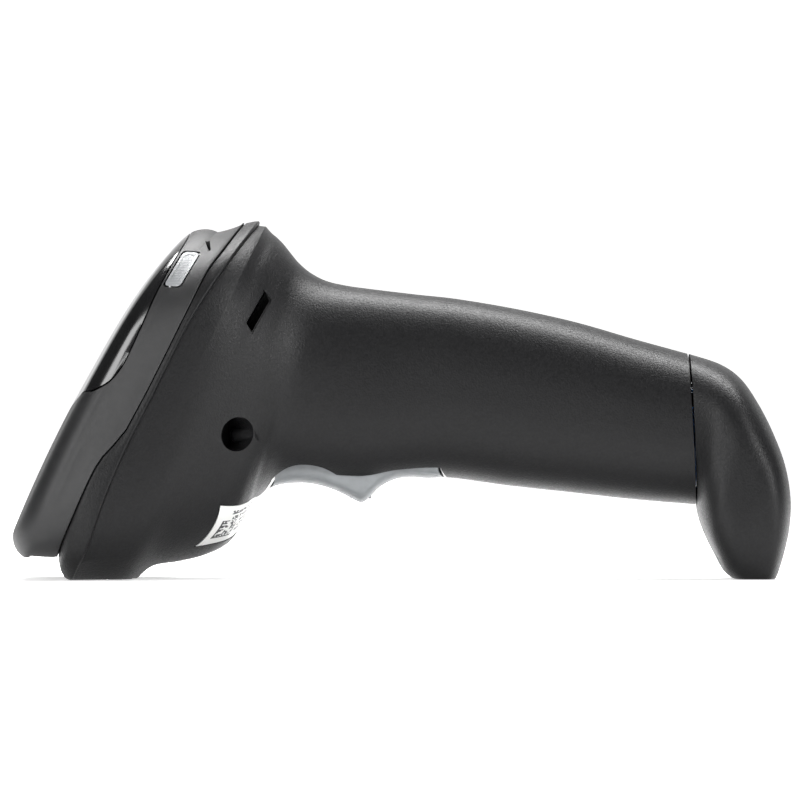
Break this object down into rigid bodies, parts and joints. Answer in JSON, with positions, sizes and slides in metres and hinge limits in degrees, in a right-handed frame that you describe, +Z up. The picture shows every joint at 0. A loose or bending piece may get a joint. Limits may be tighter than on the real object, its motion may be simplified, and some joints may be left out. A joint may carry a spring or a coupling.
{
  "type": "handheld barcode scanner",
  "caption": "Pistol-grip barcode scanner with a hooked tail, a two-finger trigger, a nose window, a battery in the grip and a scan engine behind the window",
  "frame": {"origin": "middle of the bounding box's base: the surface that the scanner lies on, on its nose bumper and tail foot", "axes": "X runs from the head at -X to the tail at +X, Y is the width, with the object symmetric about Y = 0 outside, Z is up with the scanner lying on its bumper and foot"},
  "size_m": [0.1784, 0.066, 0.0819],
  "materials": {
    "housing_plastic": "fine spark-textured black moulding",
    "cover_plastic": "satin black moulding",
    "gloss_panel": "polished piano-black panel",
    "trigger_plastic": "satin grey moulding",
    "clear_plastic": "clear light guide with a ribbed back",
    "label_paper": "white printed label stock",
    "seal_rubber": "black silicone",
    "window_glass": "coated dark red window",
    "circuit_board": "green solder mask",
    "inner_plastic": "unfinished dark moulding",
    "cell_sleeve": "blue shrink sleeve",
    "steel": "zinc-plated steel",
    "gold_plate": "gold-plated contact"
  },
  "bodies": {
    "root": {"housing_left": "housing_plastic", "housing_right": "housing_plastic", "end_cap": "housing_plastic", "top_cover": "cover_plastic", "window_bezel": "cover_plastic", "lens_barrel": "cover_plastic", "indicator_panel": "gloss_panel", "light_guide_left": "clear_plastic", "light_guide_right": "clear_plastic", "indicator_led_left": "clear_plastic", "indicator_led_right": "clear_plastic", "illuminator_left": "clear_plastic", "illuminator_right": "clear_plastic", "aimer_lens": "clear_plastic", "rating_label": "label_paper", "window_gasket": "seal_rubber", "end_cap_gasket": "seal_rubber", "scan_window": "window_glass", "main_board": "circuit_board", "trigger_board": "circuit_board", "sensor_board": "circuit_board", "indicator_board": "circuit_board", "battery_cradle": "inner_plastic", "engine_frame": "inner_plastic", "scan_engine": "inner_plastic", "trigger_switch": "inner_plastic", "beeper": "inner_plastic", "battery_cell": "cell_sleeve", "trigger_pin": "steel", "trigger_spring": "steel", "battery_contact_front": "steel", "battery_contact_rear": "steel", "processor_shield": "steel", "board_screw_1": "steel", "board_screw_2": "steel", "case_screw_1": "steel", "case_screw_2": "steel", "case_screw_3": "steel", "end_cap_screw": "steel", "engine_screw_1": "steel", "engine_screw_2": "steel", "radio_module": "gold_plate", "charge_contact_left": "gold_plate", "charge_contact_right": "gold_plate"},
    "trigger_lever": {"trigger": "trigger_plastic"},
    "plunger": {"switch_plunger": "cover_plastic"}
  },
  "joints": [
    {"name": "trigger_pull", "type": "hinge", "parent": "root", "child": "trigger_lever", "pos_m": [0.0066, 0, 0.0315], "axis": [0, 1, 0], "range_deg": [0, 4], "stiffness_Nm_per_rad": 0.6, "springref_deg": -5.73, "deforming": ["trigger_spring"]},
    {"name": "plunger_press", "type": "slide", "parent": "root", "child": "plunger", "axis": [0, 0, 1], "range_m": [0, 0.0012]}
  ],
  "couplings": [
    {"joint": "plunger_press", "follows": "trigger_pull", "m_per_rad": 0.0156}
  ]
}
